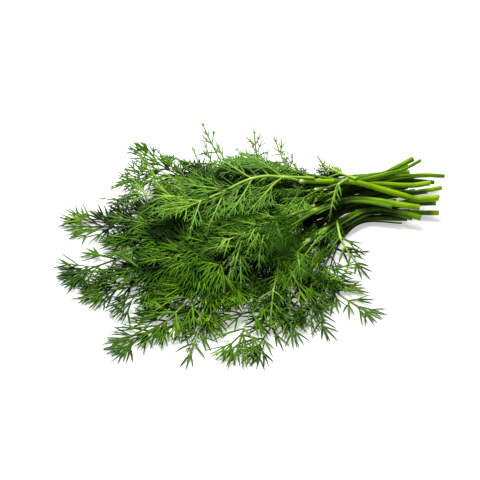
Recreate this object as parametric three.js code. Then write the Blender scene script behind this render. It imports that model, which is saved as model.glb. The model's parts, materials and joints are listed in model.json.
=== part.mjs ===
// A loose bunch of fresh dill lying on a table, in millimetres, +Z up.
//
// The cut stems lie side by side at +X, pass through a narrow neck and fan out towards -X and -Y.
// Each sprig is a tapering stem, one leaf that carries on from its end and a few side leaves that
// clasp it lower down. A leaf is a thin pinnate blade: a narrow midrib with pairs of pointed
// leaflets that get shorter and closer towards the tip. The sprigs are laid one after another on
// a height map of what already lies there, so each rests on those below it and none overlap.
import * as THREE from 'three';

// Driving dimensions.
const BUNCH_LENGTH = 276; // from the furthest cut end to the furthest leaf tip
const BUNCH_WIDTH = 204; // across the fan of leaves
const STEM_RADIUS = 2.3; // of the thickest stem, at its cut end
const STEM_TAPER = 0.68; // its radius where its last leaf carries on, as a share of that
const MIDRIB_WIDTH = 2.0;
const BLADE_THICKNESS = 1.2;
const LEAFLET_PAIRS = 6;
const LEAFLET_WIDTH = 5; // of a long leaflet, where it leaves the midrib
const LEAFLET_CROWDING = 0.5; // the widest that a leaflet starts, as a share of the way to the next
const LEAFLET_REACH = 0.44; // length of the longest leaflet, as a share of its blade's length
const LEAFLET_ANGLE = 47; // degrees between the midrib and a leaflet
const PETIOLE_SHARE = 0.28; // bare part of a side leaf, before its first pair of leaflets
const CONTACT_GAP = 0.3; // left between pieces that touch
const CUT_END_HEIGHT = 6; // the leaves under the neck tilt the cut ends at least this far up

const LEAFLET_DROOP = 0.22; // fall of a leaflet's tip, as a share of its length
const LEAFLET_RISE = 0.7; // the steepest that a leaflet is pushed up, before it is cut short

// How finely the pieces are built and laid.
const STEM_SIDES = 8;
const STEM_STATIONS = 13;
const CELL = 0.6; // side of one cell of the height map
const SAMPLE = 0.5; // spacing of the points at which a footprint is read or written
const SHOULDER = 4; // how far to each side a midrib clears the pile, where it bears leaflets

// The sprigs from the bottom of the pile to the top, each by its plan: where its stem is cut,
// where it passes the neck, where it forks into its last leaf, and where that leaf's tip lies.
// Its girth is its thickness, as a share of the thickest stem's. A side leaf is [share of the
// stem's length at which it grows, tip x, tip y]. A third number after the x and y of a tip or
// a cut end is the height at which its own stiffness holds it.
// They are drawn for a bunch of the drawn size, and are scaled from it to the driving size.
const DRAWN_LENGTH = 276;
const DRAWN_WIDTH = 204;
const SPRIGS = [
  { girth: 0.8, cut: [118, 36], neck: [84, 36], fork: [58, 2], tip: [92, -58], sides: [[0.88, 90, 8]] },
  { girth: 0.75, cut: [141, 42], neck: [82, 41], fork: [38, -34], tip: [4, -99], sides: [[0.86, 58, -78]] },
  {
    girth: 0.8, cut: [126, 47], neck: [80, 46], fork: [-14, -34], tip: [-84, -88],
    sides: [[0.95, -34, -102]],
  },
  { girth: 0.8, cut: [140, 53], neck: [78, 51], fork: [-4, 4], tip: [-108, -34], sides: [[0.84, -88, -52]] },
  { girth: 0.8, cut: [135, 66], neck: [78, 56], fork: [-18, 38], tip: [-126, 34], sides: [[0.72, -62, 66]] },
  { girth: 0.7, cut: [128, 74], neck: [76, 61], fork: [4, 60], tip: [-80, 94, 28], sides: [[0.7, -96, 68]] },
  { girth: 0.9, cut: [124, 88], neck: [76, 67], fork: [38, 68], tip: [0, 96, 12], sides: [[0.7, 42, 84]] },
  { girth: 0.75, cut: [145, 66], neck: [80, 43], fork: [28, -18], tip: [-4, -100], sides: [[0.86, 34, -84]] },
  { girth: 0.8, cut: [120, 62], neck: [78, 49], fork: [-12, 22], tip: [-122, -22], sides: [[0.8, -92, -4]] },
  { girth: 0.8, cut: [118, 67], neck: [74, 54], fork: [0, -14], tip: [-62, -84], sides: [[0.84, -98, -22]] },
  {
    girth: 0.7, cut: [141, 76], neck: [72, 60], fork: [16, 60], tip: [-28, 100, 44],
    sides: [[0.66, 46, 82], [0.9, -50, 84, 24]],
  },
  {
    girth: 0.65, cut: [148, 77], neck: [80, 57], fork: [8, 30], tip: [-94, 26, 18],
    sides: [[0.82, -100, 48, 12]],
  },
  {
    girth: 0.85, cut: [125, 82, 23], neck: [84, 64], fork: [34, 54], tip: [10, 102, 38],
    sides: [[0.8, 24, 92, 38], [0.9, -24, 68, 34]],
  },
  { girth: 0.95, cut: [127, 33, 9], neck: [93, 41], fork: [46, 6], tip: [20, -70], sides: [[0.7, 88, -20]] },
  {
    girth: 0.85, cut: [135, 58, 20], neck: [80, 53], fork: [24, 16], tip: [-66, -24, 20],
    sides: [[0.82, -34, 52, 24]],
  },
  {
    girth: 0.95, cut: [126, 38], neck: [78, 42], fork: [40, 18], tip: [-36, -56],
    sides: [[0.85, -28, -22, 20]],
  },
  {
    girth: 0.55, cut: [130, 78, 25], neck: [82, 55], fork: [52, 42], tip: [-10, 66, 40],
    sides: [[0.6, 56, 76, 30]],
  },
  {
    girth: 1, cut: [140, 46, 17], neck: [80, 49], fork: [42, 47], tip: [-60, 2, 36],
    sides: [[0.6, 54, 72, 36], [0.66, 62, 22], [0.9, -14, 50, 42]],
  },
];

// What already lies on the table, as the height of the highest surface over each cell.
class Pile {
  constructor() {
    this.top = new Map();
  }

  key(x, y) {
    return Math.round(x / CELL) * 4096 + Math.round(y / CELL);
  }

  heightAt(x, y) {
    return this.top.get(this.key(x, y)) ?? 0;
  }

  // Raises a piece off whatever its surface would still run into.
  lift(geometry) {
    let short = 0;
    for (const p of surfaceSamples(geometry)) {
      const below = this.heightAt(p.x, p.y);
      short = Math.max(short, below + (below > 0 ? CONTACT_GAP : 0) - p.z);
    }
    geometry.translate(0, 0, short);
  }

  // Raises the cells under and next to every point of a finished piece's surface.
  add(geometry) {
    for (const p of surfaceSamples(geometry)) {
      for (const dx of [-CELL, 0, CELL]) {
        for (const dy of [-CELL, 0, CELL]) {
          const key = this.key(p.x + dx, p.y + dy);
          this.top.set(key, Math.max(this.top.get(key) ?? 0, p.z));
        }
      }
    }
  }
}

// Points spread over a whole surface.
function* surfaceSamples(geometry) {
  const corners = geometry.getAttribute('position');
  const corner = (i) => new THREE.Vector3().fromBufferAttribute(corners, i);
  for (let i = 0; i < corners.count; i += 3) {
    yield* triangleSamples(corner(i), corner(i + 1), corner(i + 2));
  }
}

// Points spread over a triangle, no further apart than SAMPLE.
function* triangleSamples(a, b, c) {
  const rows = Math.ceil(Math.max(a.distanceTo(b), a.distanceTo(c), b.distanceTo(c)) / SAMPLE) + 1;
  for (let i = 0; i <= rows; i++) {
    for (let j = 0; j <= rows - i; j++) {
      yield new THREE.Vector3()
        .addScaledVector(a, i / rows)
        .addScaledVector(b, j / rows)
        .addScaledVector(c, (rows - i - j) / rows);
    }
  }
}

// How high the middle of a strip must lie to clear the pile, from one plan point to another.
// The strip is clears wide to each side of its middle, and under it is halfAt(offset) of its
// own thickness at each offset from its middle.
function heightToClear(pile, from, to, clears, halfAt) {
  const run = to.clone().sub(from);
  const across = new THREE.Vector3(-run.y, run.x, 0).normalize();
  const steps = Math.ceil(run.length() / SAMPLE) + 1;
  const lanes = Math.ceil(clears / SAMPLE);
  let height = halfAt(0);
  for (let i = 0; i <= steps; i++) {
    for (let lane = -lanes; lane <= lanes; lane++) {
      const offset = (clears * lane) / lanes;
      const p = from.clone().addScaledVector(run, i / steps).addScaledVector(across, offset);
      const below = pile.heightAt(p.x, p.y);
      height = Math.max(height, below > 0 ? below + CONTACT_GAP + halfAt(offset) : 0);
    }
  }
  return height;
}

// Half the thickness of a round stem and of a flat blade, at an offset from its middle.
const roundHalf = (radius) => (offset) => Math.sqrt(Math.max(radius ** 2 - offset ** 2, 0));
const flatHalf = () => BLADE_THICKNESS / 2;

// A chain of stations is a stem or midrib in plan, each station with the half width that it
// clears, its half thickness and the height it springs to by itself. This gives each its height
// on a taut line over the stations that something holds up, clear of the pile between them.
function settle(pile, stations) {
  const needed = stations.map(({ plan, clears, halfAt }, i) => {
    const before = stations[Math.max(i - 1, 0)].plan;
    const after = stations[Math.min(i + 1, stations.length - 1)].plan;
    return Math.max(
      heightToClear(pile, before, plan, clears, halfAt),
      heightToClear(pile, plan, after, clears, halfAt),
    );
  });
  const travelled = [0];
  for (let i = 1; i < stations.length; i++) {
    travelled.push(travelled[i - 1] + stations[i].plan.distanceTo(stations[i - 1].plan));
  }
  const onLine = (from, to, i) => {
    const share = (travelled[i] - travelled[from]) / (travelled[to] - travelled[from] || 1);
    return THREE.MathUtils.lerp(needed[from], needed[to], share);
  };
  const taut = stations.map((_, i) => {
    let height = needed[i];
    for (let from = 0; from < i; from++) {
      for (let to = i + 1; to < stations.length; to++) {
        height = Math.max(height, onLine(from, to, i));
      }
    }
    return height;
  });
  stations.forEach((station, i) => {
    station.plan.z = Math.max(taut[i], station.springs);
  });
}

// A plan point of the drawn bunch, at the driving size.
function planPoint([x, y]) {
  return new THREE.Vector3((x * BUNCH_LENGTH) / DRAWN_LENGTH, (y * BUNCH_WIDTH) / DRAWN_WIDTH, 0);
}

// The direction in plan that lies square to a station's run, to its left.
function leftOf(points, i) {
  const before = points[Math.max(i - 1, 0)];
  const after = points[Math.min(i + 1, points.length - 1)];
  return new THREE.Vector3(before.y - after.y, after.x - before.x, 0).normalize();
}

// Stations along a stem, evenly spaced from its cut end to its fork.
function stemStations(curve, girth, cutHeight = CUT_END_HEIGHT) {
  return curve.getSpacedPoints(STEM_STATIONS - 1).map((plan, i) => {
    const share = i / (STEM_STATIONS - 1);
    const radius = STEM_RADIUS * girth * THREE.MathUtils.lerp(1, STEM_TAPER, share);
    const springs = cutHeight * (1 - share);
    return { plan, radius, halfAt: roundHalf(radius), clears: radius, springs };
  });
}

// A tapering round stem through its settled stations, as a straight prism bent along them.
function stemGeometry(stations) {
  const section = new THREE.Shape();
  for (let i = 0; i < STEM_SIDES; i++) {
    const angle = (2 * Math.PI * (i + 0.5)) / STEM_SIDES;
    section[i ? 'lineTo' : 'moveTo'](Math.cos(angle), Math.sin(angle));
  }
  const steps = stations.length - 1;
  const geometry = new THREE.ExtrudeGeometry(section, { depth: steps, steps, bevelEnabled: false });
  const points = stations.map((station) => station.plan);
  return bend(geometry, (x, y, z) => {
    const i = Math.round(z);
    const left = leftOf(points, i);
    const { radius } = stations[i];
    // The section stands square to the stem's run in plan, and its height is kept.
    return points[i].clone().addScaledVector(left, x * radius).add(new THREE.Vector3(0, 0, y * radius));
  });
}

// Moves each vertex of a geometry to where place says.
function bend(geometry, place) {
  const corners = geometry.getAttribute('position');
  for (let i = 0; i < corners.count; i++) {
    const p = place(corners.getX(i), corners.getY(i), corners.getZ(i));
    corners.setXYZ(i, p.x, p.y, p.z);
  }
  geometry.computeVertexNormals();
  return geometry;
}

// The leaflet pairs of a blade of this length: where each pair leaves the midrib, how long its
// leaflets are and how wide they start. They close up towards the tip.
function leafletPairs(bladeLength) {
  const left = (i) => 1 - Math.min((i + 0.35) / (LEAFLET_PAIRS + 0.35), 1);
  const place = (i) => bladeLength * (1 - left(i) ** 1.35);
  return Array.from({ length: LEAFLET_PAIRS }, (_, i) => ({
    at: place(i),
    length: bladeLength * LEAFLET_REACH * (0.18 + 0.82 * left(i)),
    width: Math.min(LEAFLET_WIDTH, (place(i + 1) - place(i)) * LEAFLET_CROWDING),
  }));
}

// Stations along a leaf's midrib: its start, both edges of each leaflet pair, and its tip,
// which a springy leaf holds up at a height of its own.
function leafStations(curve, bareLength, tipHeight = 0) {
  const total = curve.getLength();
  const pairs = leafletPairs(total - bareLength);
  const edges = pairs.flatMap(({ at, width }) => [at - width / 2, at + width / 2]);
  const distances = [0, ...edges.map((s) => bareLength + s), total];
  const stations = distances.map((s) => ({
    plan: curve.getPointAt(s / total),
    halfAt: flatHalf,
    clears: s < bareLength - SHOULDER ? MIDRIB_WIDTH : SHOULDER,
    springs: (tipHeight * s) / total,
  }));
  return { pairs, stations };
}

// One leaflet's tip in plan and height: out from the midrib at the leaflet's angle, falling by
// its droop unless what lies below, or the table, holds it up. It ends early at a steep step.
function leafletTip(pile, back, front, outward, leaflet) {
  const root = back.clone().add(front).multiplyScalar(0.5);
  const forward = front.clone().sub(back).setZ(0).normalize();
  const angle = THREE.MathUtils.degToRad(LEAFLET_ANGLE);
  const out = outward.clone().multiplyScalar(Math.sin(angle)).addScaledVector(forward, Math.cos(angle));
  const across = new THREE.Vector3(-out.y, out.x, 0).multiplyScalar(leaflet.width / 2);
  const low = Math.min(back.z, front.z);
  let slope = -LEAFLET_DROOP;
  let length = 0;
  for (let reach = MIDRIB_WIDTH; reach <= leaflet.length; reach += SAMPLE) {
    const from = root.clone().addScaledVector(out, reach).sub(across);
    const to = root.clone().addScaledVector(out, reach).add(across);
    const rise = (heightToClear(pile, from, to, SAMPLE, flatHalf) - low) / reach;
    if (rise > LEAFLET_RISE && reach > SHOULDER) {
      break;
    }
    slope = Math.max(slope, Math.min(rise, LEAFLET_RISE));
    length = reach;
  }
  return root.clone().addScaledVector(out, length).setZ(low + slope * length);
}

// A leaf through its settled stations: the flat outline of its midrib and leaflets, extruded to
// the blade's thickness, then bent so that each outline point lies where it was laid.
function leafGeometry(pile, { pairs, stations }) {
  const points = stations.map((station) => station.plan);
  const last = points.length - 1;
  const edge = (i, side) => points[i].clone().addScaledVector(leftOf(points, i), (side * MIDRIB_WIDTH) / 2);
  const bank = (side) =>
    pairs.flatMap((pair, n) => {
      const [back, front] = [2 * n + 1, 2 * n + 2];
      const outward = leftOf(points, back).multiplyScalar(side);
      const tip = leafletTip(pile, points[back], points[front], outward, pair);
      return [edge(back, side), tip, edge(front, side)];
    });
  const outline = [
    edge(0, -1), ...bank(-1), points[last], ...bank(1).reverse(), edge(0, 1),
  ];
  const heights = new Map(outline.map((p) => [outlineKey(p.x, p.y), p.z]));
  const shape = new THREE.Shape(outline.map((p) => new THREE.Vector2(p.x, p.y)));
  const flat = new THREE.ExtrudeGeometry(shape, { depth: BLADE_THICKNESS, bevelEnabled: false });
  return bend(flat, (x, y, z) => {
    const height = heights.get(outlineKey(x, y)) - BLADE_THICKNESS / 2;
    return new THREE.Vector3(x, y, z + height);
  });
}

// Names an outline point by its place in plan, rounded as a geometry's 32-bit numbers are.
function outlineKey(x, y) {
  return `${Math.fround(x).toFixed(4)},${Math.fround(y).toFixed(4)}`;
}

// A leaf's midrib in plan: it leaves its start in one direction and curves to its tip.
function midribCurve(start, direction, tip) {
  const control = start.clone().addScaledVector(direction, start.distanceTo(tip) * 0.4);
  return new THREE.QuadraticBezierCurve3(start, control, tip);
}

const MATERIALS = {
  stem: new THREE.MeshStandardMaterial({ name: 'stem', color: 0x7fb02e, roughness: 0.45, metalness: 0 }),
  leaf: new THREE.MeshStandardMaterial({ name: 'leaf', color: 0x2f7a1c, roughness: 0.6, metalness: 0 }),
};

// Lays one sprig on the pile and returns its meshes: the stem, its end leaf and its side leaves.
function laySprig(pile, plan, number) {
  const label = String(number).padStart(2, '0');
  const meshes = [];
  const lay = (pieces) => {
    pieces.forEach(({ geometry }) => pile.lift(geometry));
    for (const { name, geometry, material } of pieces) {
      pile.add(geometry);
      const mesh = new THREE.Mesh(geometry, material);
      mesh.name = name;
      meshes.push(mesh);
    }
  };

  const stemCurve = new THREE.CatmullRomCurve3([plan.cut, plan.neck, plan.fork].map(planPoint));
  const stem = stemStations(stemCurve, plan.girth, plan.cut[2]);
  const ahead = stemCurve.getTangentAt(1);
  const start = stemCurve.getPointAt(1).addScaledVector(ahead, CONTACT_GAP);
  const endLeaf = leafStations(midribCurve(start, ahead, planPoint(plan.tip)), SHOULDER, plan.tip[2]);
  settle(pile, [...stem, ...endLeaf.stations]);
  lay([
    { name: `stem_${label}`, geometry: stemGeometry(stem), material: MATERIALS.stem },
    { name: `leaf_${label}_end`, geometry: leafGeometry(pile, endLeaf), material: MATERIALS.leaf },
  ]);

  plan.sides.forEach(([share, x, y, height], i) => {
    const node = stemCurve.getPointAt(share);
    const tip = planPoint([x, y]);
    const outward = tip.clone().sub(node);
    const direction = stemCurve.getTangentAt(share).add(outward.clone().normalize()).normalize();
    const bare = outward.length() * PETIOLE_SHARE;
    const side = leafStations(midribCurve(node, direction, tip), bare, height);
    settle(pile, side.stations);
    const geometry = leafGeometry(pile, side);
    lay([{ name: `leaf_${label}_side_${i + 1}`, geometry, material: MATERIALS.leaf }]);
  });
  return meshes;
}

// Lays the whole bunch, and moves it so that its origin is under its middle, on the table.
function dillBunch() {
  const pile = new Pile();
  const bunch = new THREE.Group();
  SPRIGS.forEach((plan, i) => bunch.add(...laySprig(pile, plan, i + 1)));
  const box = new THREE.Box3().setFromObject(bunch);
  const middle = box.getCenter(new THREE.Vector3()).setZ(box.min.z);
  bunch.children.forEach((mesh) => mesh.position.sub(middle));
  return bunch;
}

export default dillBunch();
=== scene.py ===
"""A loose bunch of fresh dill lying on its side: cut stems, and feathery leaves round them."""

from __future__ import annotations

import json
import logging
import math
from collections import defaultdict
from dataclasses import dataclass, field, replace
from enum import Enum
from typing import ClassVar

import bpy
import numpy as np
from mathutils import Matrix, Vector

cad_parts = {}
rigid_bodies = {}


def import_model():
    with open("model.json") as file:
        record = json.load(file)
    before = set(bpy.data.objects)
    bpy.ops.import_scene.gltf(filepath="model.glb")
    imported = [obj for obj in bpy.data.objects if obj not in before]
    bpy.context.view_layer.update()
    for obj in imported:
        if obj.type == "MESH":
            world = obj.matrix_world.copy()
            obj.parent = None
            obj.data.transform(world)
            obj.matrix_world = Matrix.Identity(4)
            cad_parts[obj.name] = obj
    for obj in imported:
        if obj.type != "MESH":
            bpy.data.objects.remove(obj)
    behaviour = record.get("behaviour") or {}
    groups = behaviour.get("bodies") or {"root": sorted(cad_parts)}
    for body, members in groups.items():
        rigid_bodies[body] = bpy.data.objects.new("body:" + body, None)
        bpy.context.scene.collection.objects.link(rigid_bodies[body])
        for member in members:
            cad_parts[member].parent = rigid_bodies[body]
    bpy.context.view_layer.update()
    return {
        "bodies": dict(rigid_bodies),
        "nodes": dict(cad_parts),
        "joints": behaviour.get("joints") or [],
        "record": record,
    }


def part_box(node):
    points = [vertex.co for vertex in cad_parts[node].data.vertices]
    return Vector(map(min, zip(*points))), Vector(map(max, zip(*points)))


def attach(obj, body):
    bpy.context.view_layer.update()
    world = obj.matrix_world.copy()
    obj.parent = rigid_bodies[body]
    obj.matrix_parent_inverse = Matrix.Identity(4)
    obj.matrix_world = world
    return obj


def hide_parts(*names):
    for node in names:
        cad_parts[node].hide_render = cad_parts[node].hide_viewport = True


LOG = logging.getLogger("dill")
Colour = tuple[float, float, float]
Span = tuple[float, float]
UP = np.array([0.0, 0.0, 1.0])
PHASES: Span = (0.0, 6.0)

# In metres: the least gap over the table, and how near two vertices count as one.
TABLE_CLEARANCE = 0.0004
WELD = 1e-5


def unit(vectors: np.ndarray) -> np.ndarray:
    """Scales vectors, held in the last axis, to a length of one."""
    lengths = np.linalg.norm(vectors, axis=-1, keepdims=True)
    return vectors / np.maximum(lengths, 1e-12)


def turned(vectors: np.ndarray, axes: np.ndarray, angles: np.ndarray) -> np.ndarray:
    """Turns vectors about unit axes.

    Args:
        vectors: The vectors, one to a row.
        axes: A unit axis for each.
        angles: An angle in radians for each.

    Returns:
        The turned vectors.
    """
    cos, sin = np.cos(angles)[:, None], np.sin(angles)[:, None]
    along = (vectors * axes).sum(-1, keepdims=True)
    return vectors * cos + np.cross(axes, vectors) * sin + axes * along * (1 - cos)


def smooth_path(points: np.ndarray, steps: int) -> np.ndarray:
    """Runs a Catmull-Rom curve through rows of numbers.

    Args:
        points: The rows to pass through: places, with radii or other numbers beside them.
        steps: How many stations each span gets.

    Returns:
        The stations, the first and last rows among them.
    """
    padded = np.vstack([2 * points[0] - points[1], points, 2 * points[-1] - points[-2]])
    t = (np.arange(steps) / steps)[:, None]
    spans = []
    for a, b, c, d in zip(padded, padded[1:], padded[2:], padded[3:]):
        cubic = 3 * b - a - 3 * c + d
        square = 2 * a - 5 * b + 4 * c - d
        spans.append(b + 0.5 * (t * (c - a) + t**2 * square + t**3 * cubic))
    return np.vstack([*spans, points[-1:]])


def distances(points: np.ndarray) -> np.ndarray:
    """Gives how far along a path each of its points is."""
    return np.append(0, np.cumsum(np.linalg.norm(np.diff(points, axis=0), axis=1)))


def bell(values: np.ndarray, width: float) -> np.ndarray:
    """Gives a smooth peak, 1 at zero, that fades over a width."""
    return np.exp(-((values / width) ** 2))


def clear_table(points: np.ndarray, thickness: np.ndarray | float) -> None:
    """Lifts places where they stand, so that what lies round them clears the table."""
    points[..., 2] = np.maximum(points[..., 2], TABLE_CLEARANCE + thickness)


def add_object(name: str, data: bpy.types.ID) -> bpy.types.Object:
    """Makes an object and puts it in the scene.

    Args:
        name: Its name.
        data: Its mesh, lamp or lens.

    Returns:
        The object.
    """
    made = bpy.data.objects.new(name, data)
    bpy.context.scene.collection.objects.link(made)
    return made


# --- Finishes ---------------------------------------------------------------------------------


class Signal:
    """A shader socket that takes part in Python sums."""

    def __init__(self, graph: Graph, socket: bpy.types.NodeSocket) -> None:
        """Keeps the graph and the socket."""
        self.graph = graph
        self.socket = socket

    def __add__(self, other: Signal | float) -> Signal:
        """Adds."""
        return self.graph.maths("ADD", self, other)

    def __sub__(self, other: Signal | float) -> Signal:
        """Takes away."""
        return self.graph.maths("SUBTRACT", self, other)

    def __rsub__(self, other: float) -> Signal:
        """Takes this away from a number."""
        return self.graph.maths("SUBTRACT", other, self)

    def __mul__(self, other: Signal | float) -> Signal:
        """Multiplies."""
        return self.graph.maths("MULTIPLY", self, other)

    __radd__ = __add__
    __rmul__ = __mul__


class Graph:
    """The node tree of one material."""

    def __init__(self, name: str) -> None:
        """Starts an empty material."""
        self.material = bpy.data.materials.new(name)
        self.material.use_nodes = True
        self.tree = self.material.node_tree
        self.tree.nodes.clear()

    def node(self, kind: str, settings: dict, inputs: dict) -> bpy.types.Node:
        """Makes any node.

        Args:
            kind: The node's type.
            settings: Its own properties, which are set first.
            inputs: Values or signals for its sockets, by name or number.

        Returns:
            The node.
        """
        made = self.tree.nodes.new(kind)
        for key, value in settings.items():
            setattr(made, key, value)
        for key, value in inputs.items():
            if isinstance(value, Signal):
                self.tree.links.new(value.socket, made.inputs[key])
            else:
                made.inputs[key].default_value = value
        return made

    def maths(self, operation: str, a: Signal | float, b: Signal | float) -> Signal:
        """Adds a Math node and returns its value."""
        made = self.node("ShaderNodeMath", {"operation": operation}, {0: a, 1: b})
        return Signal(self, made.outputs[0])

    def ramp(self, value: Signal, low: float, high: float) -> Signal:
        """Eases a value from 0 at low to 1 at high."""
        made = self.node(
            "ShaderNodeMapRange",
            {"interpolation_type": "SMOOTHSTEP"},
            {"Value": value, "From Min": low, "From Max": high},
        )
        return Signal(self, made.outputs["Result"])

    def mix(self, factor: Signal, a: Signal | Colour, b: Signal | Colour) -> Signal:
        """Mixes two colours.

        Args:
            factor: 0 for the first colour and 1 for the second.
            a: The first colour.
            b: The second colour.

        Returns:
            The mixed colour.
        """
        colours = [c if isinstance(c, Signal) else (*c, 1.0) for c in (a, b)]
        made = self.node(
            "ShaderNodeMix",
            {"data_type": "RGBA"},
            {"Factor": factor, 6: colours[0], 7: colours[1]},
        )
        return Signal(self, made.outputs[2])

    def trait(self, name: str) -> Signal:
        """Reads a number that the mesh carries at each vertex."""
        made = self.node("ShaderNodeAttribute", {"attribute_name": name}, {})
        return Signal(self, made.outputs["Fac"])

    def noise(self, scale: float, detail: float = 2.0) -> Signal:
        """Makes soft noise in the space of the object.

        Args:
            scale: Waves for each metre.
            detail: How many finer layers it has.

        Returns:
            The noise, about 0.5.
        """
        place = self.node("ShaderNodeTexCoord", {}, {})
        made = self.node(
            "ShaderNodeTexNoise",
            {},
            {"Vector": Signal(self, place.outputs["Object"]), "Scale": scale, "Detail": detail},
        )
        return Signal(self, made.outputs["Fac"])

    def bump(self, height: Signal, distance: float, strength: float) -> Signal:
        """Turns a height into a normal."""
        made = self.node(
            "ShaderNodeBump",
            {},
            {"Height": height, "Distance": distance, "Strength": strength},
        )
        return Signal(self, made.outputs["Normal"])

    def surface(self, inputs: dict) -> bpy.types.Material:
        """Ends the tree in a Principled shader.

        Args:
            inputs: Values or signals for the shader's sockets, by name.

        Returns:
            The material.
        """
        shader = self.node("ShaderNodeBsdfPrincipled", {}, inputs)
        self.node("ShaderNodeOutputMaterial", {}, {"Surface": Signal(self, shader.outputs[0])})
        return self.material


@dataclass(frozen=True)
class LeafSkin:
    """Thread-like green leaf: deep to young green by tone, paler along its ribs and nodes, and
    darkened by painted shade deep inside the heap.
    """

    # inner: the painted shade colour that threads deep inside the heap are mixed towards.
    inner: Colour = (0.0025, 0.014, 0.0006)
    deep: Colour = (0.012, 0.056, 0.001)
    fresh: Colour = (0.058, 0.158, 0.002)
    young: Colour = (0.200, 0.370, 0.006)
    bloom: Colour = (0.100, 0.225, 0.040)
    rib: Colour = (0.300, 0.500, 0.060)
    node: Colour = (0.620, 0.740, 0.330)
    middle: float = 0.6
    darkening: float = 0.92
    mottle: float = 0.35
    mottle_scale: float = 160.0
    grain_scale: float = 2600.0
    grain_detail: float = 3.0
    grain_height: float = 0.0002
    grain_strength: float = 0.35
    roughness: float = 0.42
    grain_roughness: float = 0.16
    specular: float = 0.07

    def make(self) -> bpy.types.Material:
        """Makes the finish.

        Returns:
            The material.
        """
        g = Graph("dill_leaf")
        tone = g.trait("tone") + self.mottle * (g.noise(self.mottle_scale) - 0.5)
        green = g.mix(g.ramp(tone, 0.0, self.middle), self.deep, self.fresh)
        green = g.mix(g.ramp(tone, self.middle, 1.0), green, self.young)
        green = g.mix(g.trait("bloom"), green, self.bloom)
        pith = g.trait("pith")
        green = g.mix(g.ramp(pith, 0.0, self.middle), green, self.rib)
        green = g.mix(g.ramp(pith, self.middle, 1.0), green, self.node)
        # Painted shade: the deeper a thread lies under the heap's upper surface, the nearer it is
        # mixed to the inner colour.
        green = g.mix(self.darkening * g.ramp(g.trait("depth"), 0.0, 1.0), green, self.inner)
        grain = g.noise(self.grain_scale, self.grain_detail)
        return g.surface(
            {
                "Base Color": green,
                "Roughness": self.roughness + self.grain_roughness * grain,
                "Normal": g.bump(grain, self.grain_height, self.grain_strength),
                "Specular IOR Level": self.specular,
            }
        )


@dataclass(frozen=True)
class StemSkin:
    """Smooth yellow-green stem: faint lengthwise ribs, pale swollen nodes, a paler cut face, and
    painted shade that darkens it deep inside the heap.
    """

    bright: Colour = (0.200, 0.365, 0.001)
    shade: Colour = (0.065, 0.165, 0.001)
    # inner: the painted shade colour that a stem deep inside the heap is mixed towards.
    inner: Colour = (0.008, 0.030, 0.001)
    rib: Colour = (0.300, 0.500, 0.012)
    node: Colour = (0.640, 0.760, 0.330)
    cut: Colour = (0.700, 0.820, 0.330)
    brightening: Span = (0.55, 1.35)
    darkening: float = 0.85
    dark_from: float = 0.45
    ribs_around: float = 13.0
    rib_strength: float = 0.30
    rib_patches: Span = (0.3, 0.7)
    mottle_scale: float = 75.0
    grain_scale: float = 1800.0
    detail: float = 3.0
    grain_height: float = 0.5
    bump_height: float = 0.00025
    bump_strength: float = 0.45
    roughness: float = 0.30
    grain_roughness: float = 0.18
    cut_roughness: float = 0.25
    specular: float = 0.08

    def make(self) -> bpy.types.Material:
        """Makes the finish.

        Returns:
            The material.
        """
        g = Graph("dill_stem")
        patch = g.noise(self.mottle_scale, self.detail)
        skin = g.mix(g.ramp(patch + g.trait("tone"), *self.brightening), self.shade, self.bright)
        wave = g.maths("SINE", g.trait("turn") * (self.ribs_around * math.tau), 0.0)
        wave = 0.5 + 0.5 * wave
        skin = g.mix(self.rib_strength * wave * g.ramp(patch, *self.rib_patches), skin, self.rib)
        skin = g.mix(g.trait("pith"), skin, self.node)
        skin = g.mix(g.trait("cut"), skin, self.cut)
        # Painted shade: stems deep under the heap's upper surface are mixed towards the inner
        # colour.
        dark = self.darkening * g.ramp(g.trait("depth"), self.dark_from, 1.0)
        skin = g.mix(dark, skin, self.inner)
        grain = g.noise(self.grain_scale, self.detail)
        rough = self.roughness + self.grain_roughness * grain
        return g.surface(
            {
                "Base Color": skin,
                "Roughness": rough + self.cut_roughness * g.trait("cut"),
                "Normal": g.bump(
                    wave + self.grain_height * grain, self.bump_height, self.bump_strength
                ),
                "Specular IOR Level": self.specular,
            }
        )


@dataclass(frozen=True)
class TableSkin:
    """Plain white table that glows a little: painted light that lifts the shadows on it."""

    white: Colour = (0.60, 0.60, 0.597)
    # glow: painted light, an emission that lifts the table's shadows and lights the leaves from
    # below.
    glow: float = 0.75
    cloud: float = 0.985
    cloud_scale: float = 9.0
    roughness: float = 0.8
    specular: float = 0.2

    def make(self) -> bpy.types.Material:
        """Makes the finish.

        Returns:
            The material.
        """
        g = Graph("white_table")
        shade = g.mix(
            g.noise(self.cloud_scale), self.white, tuple(self.cloud * c for c in self.white)
        )
        return g.surface(
            {
                "Base Color": shade,
                "Roughness": self.roughness,
                "Specular IOR Level": self.specular,
                "Emission Color": (*self.white, 1.0),
                "Emission Strength": self.glow,
            }
        )


# --- Mesh making ------------------------------------------------------------------------------


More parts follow.
